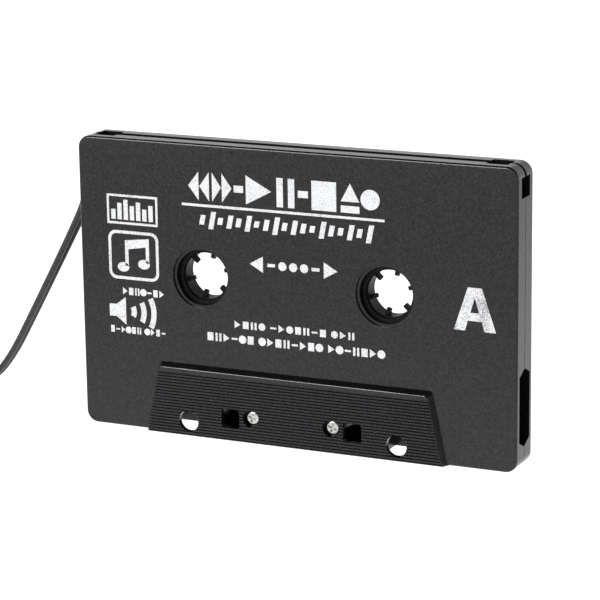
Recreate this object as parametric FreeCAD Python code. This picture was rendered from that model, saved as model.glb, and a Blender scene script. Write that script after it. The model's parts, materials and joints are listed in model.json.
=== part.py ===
import FreeCAD, Part
import math
import os
from FreeCAD import Vector

# Cassette-shaped audio adapter with a flat twin lead and a 3.5 mm stereo plug, in millimetres.
# X runs along the long side, Y from the front face to the rear face, Z up.
# The case stands on its long open edge, and the origin is the middle of that edge.

# ---- case ----
CASE_LENGTH = 100.4
CASE_HEIGHT = 63.8
CASE_THICKNESS = 8.7
CORNER_RADIUS = 2.65
FACE_EDGE_RADIUS = 0.5
SEAM_CHAMFER = 0.12
FACE_WALL = 1.2
SIDE_WALL = 1.3
HALF_LENGTH = CASE_LENGTH / 2
FACE = CASE_THICKNESS / 2
INNER_FACE = FACE - FACE_WALL

# ---- raised trapezoid on both faces ----
RAISED_THICKNESS = 12.0
RAISED = RAISED_THICKNESS / 2
RAISED_FOOT = (35.05, 31.7, 15.65)  # half width at the bottom, half width at the top, top height
RAISED_CREST = (34.15, 31.0, 14.95)
RAISED_CORNER_CUT = 0.5
RAISED_EDGE_RADIUS = 0.42
RAISED_ROOT = 3.6  # how far from the middle the raised part starts, inside the face wall
RAISED_INNER = 4.8
RAISED_ROOM = (32.6, 29.7, 1.2, 13.1)  # half widths and heights of the room behind it
GROOVES = 21
GROOVE_PITCH = 0.66
FIRST_GROOVE = 0.42
GROOVE_DEPTH = 0.26
GROOVE_WIDTH = 0.42

# ---- holes and slots ----
HUB_X = 21.25
HUB_Z = 34.83
HUB_HOLE_RADIUS = 6.1
HUB_RECESS_RADIUS = 6.75
HUB_RECESS_DEPTH = 0.5
CAPSTAN_X = 24.2
CAPSTAN_Z = 3.35
CAPSTAN_RADIUS = 2.3
LOCATING_X = 14.2
LOCATING_Z = 4.95
LOCATING_WIDTH = 4.2
LOCATING_HEIGHT = 4.1
LOCATING_CORNER = 0.6
SCREW_X = 9.3
SCREW_Z = 5.4
SCREW_RECESS_RADIUS = 1.925
SCREW_SEAT = 4.2
SCREW_HEAD_RADIUS = 1.6
SCREW_HEAD_HEIGHT = 0.9
SCREW_HEAD_ROUNDING = 0.5
CROSS_REACH = 1.0
CROSS_HALF = 0.24
CROSS_DEPTH = 0.55
SCREW_RADIUS = 0.8
SCREW_CLEARANCE = 0.95
WINDOW_HALF = 6.4
ROLLER_BAY = (19.5, 32.7)
SLOT_HALF = 3.0
SLOT_TIPS = (4.7, 21.4)
SLOT_SHOULDERS = (6.1, 20.0)
NOTCH_HALF = 2.35
SIDE_NOTCH = (57.0, 61.3)
TOP_NOTCH = (42.4, 47.2)
EDGE_GROOVE_HALF = 1.15
EDGE_GROOVE_DEPTH = 1.0
CORNER_GROOVE_HALF = 0.5
CORNER_GROOVE_DEPTH = 0.9

# ---- ribs, bosses and posts inside ----
RIB = 1.2
SCREW_BOSS_RADIUS = 2.6
BAY_ROOF = (8.6, 9.6)
BAY_FOOT = 1.0
BAY_END = 33.2
BAY_STEP = 30.2  # the raised room is narrower from here on
POSTS = ((36.0, 56.0), (45.4, 26.0), (38.5, 6.0))
POST_RADIUS = 1.8
PEG_RADIUS = 0.9
PEG_LENGTH = 1.6
PEG_GAP = 0.02

# ---- hubs and gear train ----
MODULE = 0.5
HUB_TEETH = 48
IDLER_TEETH = 37
PRESSURE_ANGLE = math.radians(20)
BACKLASH = 0.09
GEAR_HALF = 1.0
WEB_HALF = 0.6
HUB_OUTER = 6.6
HUB_INNER = 5.0
HUB_LIP = 5.35
HUB_LIP_DEPTH = 0.8
HUB_HALF = 2.45
RUNNING_GAP = 0.06
COLLAR_OUTER = 7.7
COLLAR_END = 1.3
DRIVE_TEETH = 6
DRIVE_ANGLE = 16.5
DRIVE_TIP = 3.6
DRIVE_WIDTH = 0.85
DRIVE_HALF = 0.6
IDLER_PIN_RADIUS = 1.0
IDLER_BORE = 1.04
IDLER_BOSS = 2.4
IDLER_HALF = 1.3

# ---- head and its slide ----
HEAD_HALF_X = 5.4
HEAD_HALF_Y = 3.6
HEAD_FACE_Z = 2.6
HEAD_BACK_Z = 10.0
HEAD_FACE_RADIUS = 9.0
CAN_WALL = 0.4
CORE_HALF = (1.1, 2.3)
CORE_TOP = 8.2
FILL_TOP = 9.6
PIN_XS = (-3.6, -1.2, 1.2, 3.6)
PIN_Y = -2.5
PIN_FOOT = 8.6
PIN_TOP = 12.0
PIN_THICKNESS = 0.3
CARRIER_HALF_X = 10.5
CARRIER_HALF_Y = 2.6
CARRIER_Z = (10.0, 11.5)
STOP_GAP = 0.1
STOP_X = (8.4, 10.0)
STOP_Y = -1.2
STOP_FOOT = 7.0
RAIL_X = (10.9, 12.1)
RAIL_Z = (7.4, 13.0)
SPRING_RADIUS = 1.55
SPRING_WIRE = 0.2
SPRING_TOP = 17.6
SPRING_TURNS = 5
SPRING_SEAT_HALF = 3.2

# ---- lead ----
LEAD_WIDTH = 2.8
LEAD_THICKNESS = 1.4
LEAD_RADIUS = 1.0  # round tube with the section of the flat twin lead
EXIT = (-50.2, 0.2, 58.5)
ROUTE = [
    EXIT,
    (-51.3, 0.55, 57.0),
    (-51.45, 1.5, 53.4),
    (-52.2, 3.3, 48.8),
    (-56.3, 4.6, 41.9),
    (-61.9, 5.5, 32.4),
    (-69.8, 6.4, 18.9),
    (-75.2, 7.0, 9.9),
    (-81.0, 7.5, 3.2),
    (-88.6, 8.1, 1.0),
    (-96.5, 8.4, 1.0),
]
HANK_X = (-138.0, -88.0)
HANK_HALF = 9.2
HANK_HEIGHT = 8.4
HANK_WAIST = 5.4
HANK_EDGE = 1.0
TIE_HALF_LENGTH = 1.6
TIE_THICKNESS = 0.5
TWIST_RADIUS = 0.8
TWIST_LENGTH = 9.0
TWIST_DIRECTION = (0.55, 0.3, 0.5)
TAIL = [(-134.5, 4.8, 6.3), (-140.5, 3.9, 5.6), (-147.0, 3.0, 4.2), (-152.0, 3.0, 4.2)]
INNER_ROUTE = [(-50.2, 58.5), (-48.3, 60.4), (-41.0, 60.2), (-41.0, 17.0), (-29.5, 17.0)]
INNER_BENDS = (2.4, 4.2, 4.6)
GRIP_Z = (47.0, 52.0)

# ---- board ----
BOARD_X = (-29.5, -15.5)
BOARD_Z = (11.5, 20.6)
BOARD_HALF = 0.5
BOARD_PEGS = ((-27.6, 13.2), (-17.4, 18.9))
BOARD_POST_RADIUS = 1.3
BOARD_PEG_RADIUS = 0.55
GUIDE = (1.1, 1.9)  # ribs beside the lead: their near and far faces from its middle
GUIDE_Z = (24.0, 44.0)
RESISTOR_X = -24.5
RESISTOR_LEGS = (-25.3, -20.3)
LEG_RADIUS = 0.2
HEAD_WIRE_RADIUS = 0.35
HEAD_WIRE_LEVELS = (13.8, 0.9)  # the lowest, and the step from one to the next
RESISTOR_ROWS = {"left_resistor": 18.6, "right_resistor": 15.2}

# ---- plug, on a line that runs to the left ----
PLUG_Y = 3.0
PLUG_Z = 4.2
PLUG_X = -152.0
RELIEF_LENGTH = 9.0
BODY_LENGTH = 19.0
PIN_RADIUS = 1.75
SLEEVE_LENGTH = 6.9
SPACER_LENGTH = 0.7
RING_LENGTH = 2.2
TIP_LENGTH = 3.5

FRONT = -1
REAR = 1


def box(xs, ys, zs):
    """A block between two limits along each axis."""
    size = (xs[1] - xs[0], ys[1] - ys[0], zs[1] - zs[0])
    return Part.makeBox(*size, Vector(xs[0], ys[0], zs[0]))


def drum(x, z, radius, ys):
    """A cylinder along Y."""
    return Part.makeCylinder(radius, ys[1] - ys[0], Vector(x, ys[0], z), Vector(0, 1, 0))


def ring(x, z, outer, inner, ys):
    return drum(x, z, outer, ys).cut(drum(x, z, inner, ys))


def prism(points, ys):
    """An outline of (x, z) points, drawn out along Y."""
    corners = [Vector(x, ys[0], z) for x, z in points]
    face = Part.Face(Part.makePolygon(corners + corners[:1]))
    return face.extrude(Vector(0, ys[1] - ys[0], 0))


def rounded_block(xs, ys, zs, radius):
    """A block whose four edges along Y are rounded."""
    block = box(xs, ys, zs)
    edges = [edge for edge in block.Edges if edge.BoundBox.YLength > 0.9 * (ys[1] - ys[0])]
    return block.makeFillet(radius, edges)


def turned(profile, place, along):
    """A solid of revolution: profile gives (distance along, radius) from one end to the other."""
    first, last = profile[0][0], profile[-1][0]
    points = [Vector(s, r, 0) for s, r in [(first, 0)] + profile + [(last, 0)]]
    face = Part.Face(Part.makePolygon(points + points[:1]))
    solid = face.revolve(Vector(0, 0, 0), Vector(1, 0, 0), 360)
    solid.Placement = FreeCAD.Placement(place, FreeCAD.Rotation(Vector(1, 0, 0), along))
    return solid


def joined(shapes):
    first, *others = shapes
    return first.fuse(others).removeSplitter()


def both_sides(shape):
    """A shape and its mirror image across the middle of the case."""
    return [shape, shape.mirror(Vector(0, 0, 0), Vector(1, 0, 0))]


def to_rear(shape):
    return shape.mirror(Vector(0, 0, 0), Vector(0, 1, 0))


# ---------------------------------------------------------------- case halves


def raised_outline(distance):
    """The trapezoid's outline at a distance from the middle plane, with its two top corners cut."""
    share = (distance - FACE) / (RAISED - FACE)
    bottom, top, height = (a + share * (b - a) for a, b in zip(RAISED_FOOT, RAISED_CREST))
    cut = RAISED_CORNER_CUT
    right = [(bottom, 0), (top + 0.22 * cut, height - cut), (top - cut, height)]
    outline = right + [(-x, z) for x, z in reversed(right)]
    corners = [Vector(x, -distance, z) for x, z in outline]
    return Part.makePolygon(corners + corners[:1])


def raised_part():
    """The drafted trapezoid with softened crest edges, grooved across its face."""
    block = Part.makeLoft([raised_outline(RAISED_ROOT), raised_outline(RAISED)], True, True)
    crest = [edge for edge in block.Edges if edge.BoundBox.YMax < 0.01 - RAISED]
    block = block.makeFillet(RAISED_EDGE_RADIUS, crest)
    grooves = []
    for number in range(GROOVES):
        z = FIRST_GROOVE + number * GROOVE_PITCH
        mouth = RAISED + 0.1
        half = GROOVE_WIDTH / 2 * (GROOVE_DEPTH + 0.1) / GROOVE_DEPTH
        corners = [Vector(-36, -mouth, z - half), Vector(-36, -mouth, z + half)]
        corners.append(Vector(-36, GROOVE_DEPTH - RAISED, z))
        grooves.append(Part.Face(Part.makePolygon(corners + corners[:1])).extrude(Vector(72, 0, 0)))
    return block.cut(Part.makeCompound(grooves))


def outer_plate():
    """The flat half of the case, rounded at its corners and along its face."""
    plate = rounded_block((-HALF_LENGTH, HALF_LENGTH), (-FACE, 0), (0, CASE_HEIGHT), CORNER_RADIUS)
    face_edges = [edge for edge in plate.Edges if edge.BoundBox.YMax < 0.01 - FACE]
    plate = plate.makeFillet(FACE_EDGE_RADIUS, face_edges)
    seam_edges = [edge for edge in plate.Edges if edge.BoundBox.YMin > -0.01]
    return plate.makeChamfer(SEAM_CHAMFER, seam_edges)


def inner_room():
    inside = HALF_LENGTH - SIDE_WALL
    flat = rounded_block((-inside, inside), (-INNER_FACE, 1), (SIDE_WALL, CASE_HEIGHT - SIDE_WALL), 1.5)
    low, high, floor, ceiling = RAISED_ROOM
    outline = [(-low, floor), (low, floor), (high, ceiling), (-high, ceiling)]
    return flat.fuse(prism(outline, (-RAISED_INNER, -INNER_FACE + 0.2)))


def inner_features():
    """Collars, bosses, tubes, rails and ribs that stand on the inside of either half."""
    wall, deep, middle = -INNER_FACE - 0.05, -RAISED_INNER - 0.1, 0
    hub_collar = ring(HUB_X, HUB_Z, COLLAR_OUTER, HUB_OUTER + RUNNING_GAP, (wall, -COLLAR_END))
    screw_boss = drum(SCREW_X, SCREW_Z, SCREW_BOSS_RADIUS, (deep, middle))
    bay_start = ROLLER_BAY[0] - RIB
    bay_side = box((bay_start, ROLLER_BAY[0]), (deep, middle), (BAY_FOOT / 2, BAY_ROOF[1]))
    bay_end = box((BAY_END, BAY_END + RIB), (wall, middle), (BAY_FOOT, BAY_ROOF[1]))
    bay_roof = box((bay_start, BAY_STEP), (deep, middle), BAY_ROOF)
    bay_roof_end = box((BAY_STEP, BAY_END + RIB), (wall, middle), BAY_ROOF)
    rail = box(RAIL_X, (deep, middle), RAIL_Z)
    stop = box(STOP_X, (deep, STOP_Y), (STOP_FOOT, CARRIER_Z[0] - STOP_GAP))
    posts = [drum(x, z, POST_RADIUS, (wall, middle)) for x, z in POSTS]
    floor_of_groove = CASE_HEIGHT - EDGE_GROOVE_DEPTH
    backing_z = (floor_of_groove - RIB, floor_of_groove - 0.2)
    groove_backing = box((0, TOP_NOTCH[0] + 0.6), (-EDGE_GROOVE_HALF - 0.75, middle), backing_z)
    one_side = [hub_collar, screw_boss, bay_side, bay_end, bay_roof, bay_roof_end]
    one_side += [rail, stop, groove_backing] + posts
    features = [copy for shape in one_side for copy in both_sides(shape)]
    features.append(drum(0, HUB_Z, IDLER_BOSS, (wall, -IDLER_HALF - 0.3)))
    spring_seat = (SPRING_TOP, SPRING_TOP + RIB)
    features.append(box((-SPRING_SEAT_HALF, SPRING_SEAT_HALF), (wall, middle), spring_seat))
    return features


def corner_groove():
    """The narrow groove that runs round a top corner, from the top notch to the side notch."""
    across = (-CORNER_GROOVE_HALF, 1)
    outer = rounded_block((-HALF_LENGTH, HALF_LENGTH), across, (0, CASE_HEIGHT), CORNER_RADIUS)
    depth = CORNER_GROOVE_DEPTH
    inside = (depth - HALF_LENGTH, HALF_LENGTH - depth)
    core = rounded_block(inside, (-1, 2), (depth, CASE_HEIGHT - depth), CORNER_RADIUS - depth)
    corner = box((TOP_NOTCH[1] - 0.1, HALF_LENGTH + 1), (-1, 1), (SIDE_NOTCH[1] - 0.1, CASE_HEIGHT + 1))
    return outer.cut(core).common(corner)


def openings():
    """Everything that is cut through either half after its ribs are in."""
    through = (-RAISED - 1, 1)
    hub = drum(HUB_X, HUB_Z, HUB_HOLE_RADIUS, through)
    recess = drum(HUB_X, HUB_Z, HUB_RECESS_RADIUS, (-FACE - 1, HUB_RECESS_DEPTH - FACE))
    capstan = drum(CAPSTAN_X, CAPSTAN_Z, CAPSTAN_RADIUS, (-RAISED - 1, -4))
    xs = (LOCATING_X - LOCATING_WIDTH / 2, LOCATING_X + LOCATING_WIDTH / 2)
    zs = (LOCATING_Z - LOCATING_HEIGHT / 2, LOCATING_Z + LOCATING_HEIGHT / 2)
    locating = rounded_block(xs, through, zs, LOCATING_CORNER)
    open_edge = (-1, RAISED_ROOM[2] + 0.3)
    bay = box(ROLLER_BAY, (-RAISED_INNER, 1), open_edge)
    slot_outline = [(1, SLOT_TIPS[0]), (0, SLOT_TIPS[0]), (-SLOT_HALF, SLOT_SHOULDERS[0])]
    slot_outline += [(-SLOT_HALF, SLOT_SHOULDERS[1]), (0, SLOT_TIPS[1]), (1, SLOT_TIPS[1])]
    corners = [Vector(48, y, z) for y, z in slot_outline]
    slot = Part.Face(Part.makePolygon(corners + corners[:1])).extrude(Vector(3, 0, 0))
    side_notch = box((48, 51), (-NOTCH_HALF, 1), SIDE_NOTCH)
    top_notch = box(TOP_NOTCH, (-NOTCH_HALF, 1), (CASE_HEIGHT - 2.8, CASE_HEIGHT + 1))
    groove_z = (CASE_HEIGHT - EDGE_GROOVE_DEPTH, CASE_HEIGHT + 1)
    edge_groove = box((0, TOP_NOTCH[0] + 0.1), (-EDGE_GROOVE_HALF, 1), groove_z)
    one_side = [hub, recess, capstan, locating, bay, slot, side_notch, top_notch, edge_groove]
    one_side.append(corner_groove())
    cuts = [copy for shape in one_side for copy in both_sides(shape)]
    cuts.append(box((-WINDOW_HALF, WINDOW_HALF), (-RAISED_INNER, 1), open_edge))
    cuts.append(drum(0, HUB_Z, IDLER_PIN_RADIUS, (-INNER_FACE, 1)))
    return cuts


def case_half():
    """Either half, drawn on the front side of the seam."""
    shell = outer_plate().fuse(raised_part()).cut(inner_room())
    return shell.fuse(inner_features()).cut(Part.makeCompound(openings()))


def front_shell():
    cuts = []
    pegs = []
    for side in (-1, 1):
        cuts.append(drum(side * SCREW_X, SCREW_Z, SCREW_RECESS_RADIUS, (-RAISED - 1, -SCREW_SEAT)))
        cuts.append(drum(side * SCREW_X, SCREW_Z, SCREW_CLEARANCE, (-RAISED, 1)))
        for x, z in POSTS:
            pegs.append(drum(side * x, z, PEG_RADIUS, (-0.5, PEG_LENGTH)))
    shell = case_half()
    for tool in cuts:
        shell = shell.cut(tool)
    return shell.fuse(pegs).removeSplitter()


def rear_shell():
    cuts = []
    for side in (-1, 1):
        cuts.append(drum(side * SCREW_X, SCREW_Z, SCREW_RADIUS, (-SCREW_SEAT - 0.1, 1)))
        for x, z in POSTS:
            cuts.append(drum(side * x, z, PEG_RADIUS + PEG_GAP, (-PEG_LENGTH - 0.2, 1)))
    shell = case_half()
    for tool in cuts:
        shell = shell.cut(tool)
    rear = to_rear(shell)
    wall = INNER_FACE + 0.05
    extras = [drum(x, z, BOARD_POST_RADIUS, (BOARD_HALF, wall)) for x, z in BOARD_PEGS]
    extras += [drum(x, z, BOARD_PEG_RADIUS, (-BOARD_HALF - 0.4, BOARD_HALF + 0.2)) for x, z in BOARD_PEGS]
    lead_x = INNER_ROUTE[2][0]
    for side in (-1, 1):
        near, far = sorted((lead_x + side * GUIDE[0], lead_x + side * GUIDE[1]))
        extras.append(box((near, far), (1.0, wall), GUIDE_Z))
    return rear.fuse(extras).removeSplitter()


def screw(side):
    """A small self-tapping screw with a cross recess in its low domed head."""
    x = side * SCREW_X
    seat, top = -SCREW_SEAT, -SCREW_SEAT - SCREW_HEAD_HEIGHT
    head = drum(x, SCREW_Z, SCREW_HEAD_RADIUS, (top, seat))
    rim = [edge for edge in head.Edges if edge.BoundBox.YMax < top + 0.01]
    head = head.makeFillet(SCREW_HEAD_ROUNDING, rim)
    for turn in (20, 110):
        slot = box((-CROSS_REACH, CROSS_REACH), (top - 1, top + CROSS_DEPTH), (-CROSS_HALF, CROSS_HALF))
        slot.rotate(Vector(0, 0, 0), Vector(0, 1, 0), turn)
        slot.translate(Vector(x, 0, SCREW_Z))
        head = head.cut(slot)
    profile = [(0, SCREW_RADIUS), (7.4, SCREW_RADIUS), (8.2, 0.3)]
    shank = turned(profile, Vector(x, seat, SCREW_Z), Vector(0, 1, 0))
    return head.fuse(shank).removeSplitter()


# ---------------------------------------------------------------- hubs and gears


def gear(teeth, phase, centre_x, ys):
    """A spur gear with involute flanks; phase is the angle of the first tooth's middle, in degrees."""
    pitch = MODULE * teeth / 2
    base = pitch * math.cos(PRESSURE_ANGLE)
    tip = pitch + MODULE
    root = pitch - 1.25 * MODULE
    start = max(root, base + 0.005)

    def half_angle(radius):
        roll = math.acos(base / radius)
        opening = math.tan(PRESSURE_ANGLE) - PRESSURE_ANGLE - math.tan(roll) + roll
        return math.pi / (2 * teeth) - BACKLASH / (4 * pitch) + opening

    def at(radius, angle):
        return Vector(centre_x + radius * math.cos(angle), ys[0], HUB_Z + radius * math.sin(angle))

    edges = []
    step = 2 * math.pi / teeth
    for number in range(teeth):
        middle = math.radians(phase) + number * step
        rise = [at(radius, middle - half_angle(radius)) for radius in (start, pitch, tip)]
        fall = [at(radius, middle + half_angle(radius)) for radius in (tip, pitch, start)]
        foot_in, foot_out = at(root, middle - half_angle(start)), at(root, middle + half_angle(start))
        next_in = at(root, middle + step - half_angle(start))
        if start > root:
            edges.append(Part.LineSegment(foot_in, rise[0]).toShape())
        edges.append(Part.Arc(*rise).toShape())
        edges.append(Part.Arc(rise[-1], at(tip, middle), fall[0]).toShape())
        edges.append(Part.Arc(*fall).toShape())
        if start > root:
            edges.append(Part.LineSegment(fall[-1], foot_out).toShape())
        edges.append(Part.Arc(foot_out, at(root, middle + step / 2), next_in).toShape())
    face = Part.Face(Part.Wire(Part.__sortEdges__(edges)))
    return face.extrude(Vector(0, ys[1] - ys[0], 0))


def drive_tooth(centre_x, angle):
    """One of the teeth that the player's spindle drives, rounded off towards both faces."""
    outline = [(HUB_INNER + 0.2, -DRIVE_HALF), (DRIVE_TIP + 0.3, -DRIVE_HALF), (DRIVE_TIP, -DRIVE_HALF + 0.3)]
    outline += [(r, -y) for r, y in reversed(outline)]
    corners = [Vector(r, y, -DRIVE_WIDTH / 2) for r, y in outline]
    tooth = Part.Face(Part.makePolygon(corners + corners[:1])).extrude(Vector(0, 0, DRIVE_WIDTH))
    tooth.rotate(Vector(0, 0, 0), Vector(0, 1, 0), -angle)
    tooth.translate(Vector(centre_x, 0, HUB_Z))
    return tooth


def hub(centre_x, phase):
    """A drive hub with a gear rim on a thin web, and six drive teeth in its bore."""
    body = gear(HUB_TEETH, phase, centre_x, (-GEAR_HALF, GEAR_HALF))
    for side in (-1, 1):
        ys = sorted((side * WEB_HALF, side * (GEAR_HALF + 0.1)))
        body = body.cut(ring(centre_x, HUB_Z, 10.5, HUB_OUTER + 0.2, ys))
    body = body.fuse(drum(centre_x, HUB_Z, HUB_OUTER, (-HUB_HALF, HUB_HALF)))
    body = body.cut(drum(centre_x, HUB_Z, HUB_INNER, (-HUB_HALF - 1, HUB_HALF + 1)))
    for side in (-1, 1):
        ys = sorted((side * (HUB_HALF - HUB_LIP_DEPTH), side * (HUB_HALF + 0.1)))
        body = body.cut(drum(centre_x, HUB_Z, HUB_LIP, ys))
    teeth = [drive_tooth(centre_x, DRIVE_ANGLE + 360 / DRIVE_TEETH * n) for n in range(DRIVE_TEETH)]
    return body.fuse(teeth).removeSplitter()


def idler_gear():
    body = gear(IDLER_TEETH, 0, 0, (-GEAR_HALF, GEAR_HALF))
    for side in (-1, 1):
        ys = sorted((side * WEB_HALF, side * (GEAR_HALF + 0.1)))
        body = body.cut(ring(0, HUB_Z, 7.6, 3.2, ys))
    body = body.fuse(drum(0, HUB_Z, IDLER_BOSS, (-IDLER_HALF, IDLER_HALF)))
    return body.cut(drum(0, HUB_Z, IDLER_BORE, (-2, 2))).removeSplitter()


# ---------------------------------------------------------------- head and slide


def head_body(inset):
    """The head's outer form: a block with a curved nose that faces down."""
    xs = (inset - HEAD_HALF_X, HEAD_HALF_X - inset)
    ys = (inset - HEAD_HALF_Y, HEAD_HALF_Y - inset)
    block = box(xs, ys, (HEAD_FACE_Z + inset, HEAD_BACK_Z))
    centre_z = HEAD_FACE_Z + HEAD_FACE_RADIUS
    nose = drum(0, centre_z, HEAD_FACE_RADIUS - inset, (-HEAD_HALF_Y, HEAD_HALF_Y))
    return block.common(nose)


def head_core():
    half_x, half_y = CORE_HALF
    core = head_body(0).common(box((-half_x, half_x), (-half_y, half_y), (0, CORE_TOP)))
    gap = box((-0.05, 0.05), (-half_y, half_y), (0, 4.0))
    return core.cut(gap)


def head_can():
    half_x, half_y = CORE_HALF
    can = head_body(0).cut(head_body(CAN_WALL))
    return can.cut(box((-half_x, half_x), (-half_y, half_y), (0, 6.0)))


def head_fill():
    half_x, half_y = CORE_HALF
    fill = head_body(CAN_WALL).common(box((-9, 9), (-9, 9), (0, FILL_TOP)))
    fill = fill.cut(box((-half_x, half_x), (-half_y, half_y), (0, CORE_TOP)))
    return fill.cut(head_pins())


def head_pins():
    length = PIN_TOP - PIN_FOOT
    feet = [Vector(x, PIN_Y, PIN_FOOT) for x in PIN_XS]
    return Part.makeCompound([Part.makeCylinder(PIN_THICKNESS, length, foot) for foot in feet])


def head_carrier():
    """The slide: a plate with wings between the rails, ears that hold the can, and a spring seat."""
    plate = box((-CARRIER_HALF_X, CARRIER_HALF_X), (-CARRIER_HALF_Y, CARRIER_HALF_Y), CARRIER_Z)
    plate = plate.cut(box((-4.6, 4.6), (-3, -1.75), (9, 12)))
    parts = [plate, Part.makeCylinder(1.0, 1.6, Vector(0, 0, CARRIER_Z[1]))]
    for ear in both_sides(box((HEAD_HALF_X, HEAD_HALF_X + 0.7), (-2.6, 2.6), (7.6, CARRIER_Z[0]))):
        parts.append(ear)
    return joined(parts)


def head_spring():
    low = CARRIER_Z[1] + SPRING_WIRE + 0.01
    high = SPRING_TOP - SPRING_WIRE - 0.01
    helix = Part.makeHelix((high - low) / SPRING_TURNS, high - low, SPRING_RADIUS)
    helix.translate(Vector(0, 0, low))
    start = helix.Edges[0].valueAt(helix.Edges[0].FirstParameter)
    along = helix.Edges[0].tangentAt(helix.Edges[0].FirstParameter)
    section = Part.Wire(Part.Edge(Part.Circle(start, along, SPRING_WIRE)))
    return Part.Wire(helix.Edges).makePipeShell([section], True, True)


# ---------------------------------------------------------------- tubes along a route


def bend_radii(points):
    """The radius at each inner point: as large as its two runs allow."""
    radii = []
    for before, here, after in zip(points, points[1:], points[2:]):
        shorter = min((here - before).Length, (after - here).Length)
        turn = (here - before).getAngle(after - here)
        radii.append(0.45 * shorter / math.tan(turn / 2))
    return radii


def rounded_path(points, radii):
    """Straight runs joined by tangent arcs."""
    edges = []
    at = points[0]
    for before, here, after, radius in zip(points, points[1:], points[2:], radii):
        back, ahead = (before - here).normalize(), (after - here).normalize()
        half_turn = (math.pi - back.getAngle(ahead)) / 2
        tangent = radius * math.tan(half_turn)
        arc_start, arc_end = here + back * tangent, here + ahead * tangent
        inward = (back + ahead).normalize()
        middle = here + inward * (radius / math.cos(half_turn) - radius)
        edges.append(Part.LineSegment(at, arc_start).toShape())
        edges.append(Part.Arc(arc_start, middle, arc_end).toShape())
        at = arc_end
    edges.append(Part.LineSegment(at, points[-1]).toShape())
    return Part.Wire(edges)


def tube(points, radius, radii=None):
    """A round tube along a route, with its path's length."""
    points = [Vector(*point) for point in points]
    path = rounded_path(points, bend_radii(points) if radii is None else radii)
    along = points[1] - points[0]
    section = Part.Wire(Part.Edge(Part.Circle(points[0], along, radius)))
    return path.makePipeShell([section], True, False), path.Length


def lead_stretch(name, points):
    """A free stretch of the lead; its bends and volume are printed for comparison."""
    solid, length = tube(points, LEAD_RADIUS)
    radii = [round(radius, 1) for radius in bend_radii([Vector(*point) for point in points])]
    expected = math.pi * LEAD_RADIUS**2 * length
    print(name, "length", round(length, 1), "radii", radii)
    print(name, "volume", round(solid.Volume, 1), "section times length", round(expected, 1))
    return solid


def inner_cord():
    """The flat lead inside the case: one plane path, with rounded edges to the lead's section."""
    path = rounded_path([Vector(x, 0, z) for x, z in INNER_ROUTE], INNER_BENDS)
    start = Vector(INNER_ROUTE[0][0], 0, INNER_ROUTE[0][1])
    half, edge = LEAD_WIDTH / 2, LEAD_THICKNESS / 2
    along = (Vector(INNER_ROUTE[1][0], 0, INNER_ROUTE[1][1]) - start).normalize()
    across, up = Vector(0, 1, 0), along.cross(Vector(0, 1, 0))
    flat = across * (half - edge)
    ends = [start + flat + up * edge, start + flat - up * edge]
    others = [start - flat - up * edge, start - flat + up * edge]
    edges = [Part.Arc(ends[0], start + across * half, ends[1]).toShape()]
    edges.append(Part.LineSegment(ends[1], others[0]).toShape())
    edges.append(Part.Arc(others[0], start - across * half, others[1]).toShape())
    edges.append(Part.LineSegment(others[1], ends[0]).toShape())
    return path.makePipeShell([Part.Wire(edges)], True, False)


def core_wire(offset):
    """One core of the lead, from the lead's cut end to the board."""
    x, z = INNER_ROUTE[-1]
    start = Vector(x, -BOARD_HALF - LEG_RADIUS, z + offset)
    return Part.makeCylinder(LEG_RADIUS, 2.6, start, Vector(1, 0, 0))


def head_wire(number):
    """A thin wire from the board to one pin of the head; the highest goes to the furthest pin."""
    lowest, step = HEAD_WIRE_LEVELS
    level = lowest + step * number
    pin = PIN_XS[number]
    points = [(-17.9, -BOARD_HALF - HEAD_WIRE_RADIUS, level), (-14.0, -1.5, level), (-10.0, PIN_Y, level)]
    points += [(pin, PIN_Y, level), (pin, PIN_Y, PIN_TOP)]
    return tube(points, HEAD_WIRE_RADIUS, (3.0, 3.0, 0.8))[0]


# ---------------------------------------------------------------- board, grip, lead's outer pieces


def matching_board():
    board = box(BOARD_X, (-BOARD_HALF, BOARD_HALF), BOARD_Z)
    for x, z in BOARD_PEGS:
        board = board.cut(drum(x, z, 0.6, (-1, 1)))
    return board


def resistor(z):
    """A small resistor with bent legs, lying on the board."""
    y = -BOARD_HALF - 0.8
    along = Vector(1, 0, 0)
    half = [(0, 0.65), (0.2, 0.8), (0.9, 0.8), (1.1, 0.68)]
    profile = half + [(3.4 - s, r) for s, r in reversed(half)]
    first, last = RESISTOR_LEGS
    parts = [turned(profile, Vector(RESISTOR_X, y, z), along)]
    start = Vector(first - LEG_RADIUS, y, z)
    parts.append(Part.makeCylinder(LEG_RADIUS, last - first + 2 * LEG_RADIUS, start, along))
    parts += [drum(x, z, LEG_RADIUS, (y, -BOARD_HALF)) for x in RESISTOR_LEGS]
    return parts[0].fuse(parts[1:])


def cord_grip():
    """A clip that squeezes the lead where it enters the case, so that a pull stays off the board."""
    x = INNER_ROUTE[2][0]
    half = LEAD_THICKNESS / 2
    block = box((x - 2.6, x + 2.6), (-2.2, INNER_FACE), GRIP_Z)
    lips = box((x - half - 0.4, x + half + 0.4), (-3, -LEAD_WIDTH / 2 - 0.2), GRIP_Z)
    channel = box((x - half, x + half), (-3, LEAD_WIDTH / 2), GRIP_Z)
    return block.cut(channel).cut(lips)


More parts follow.
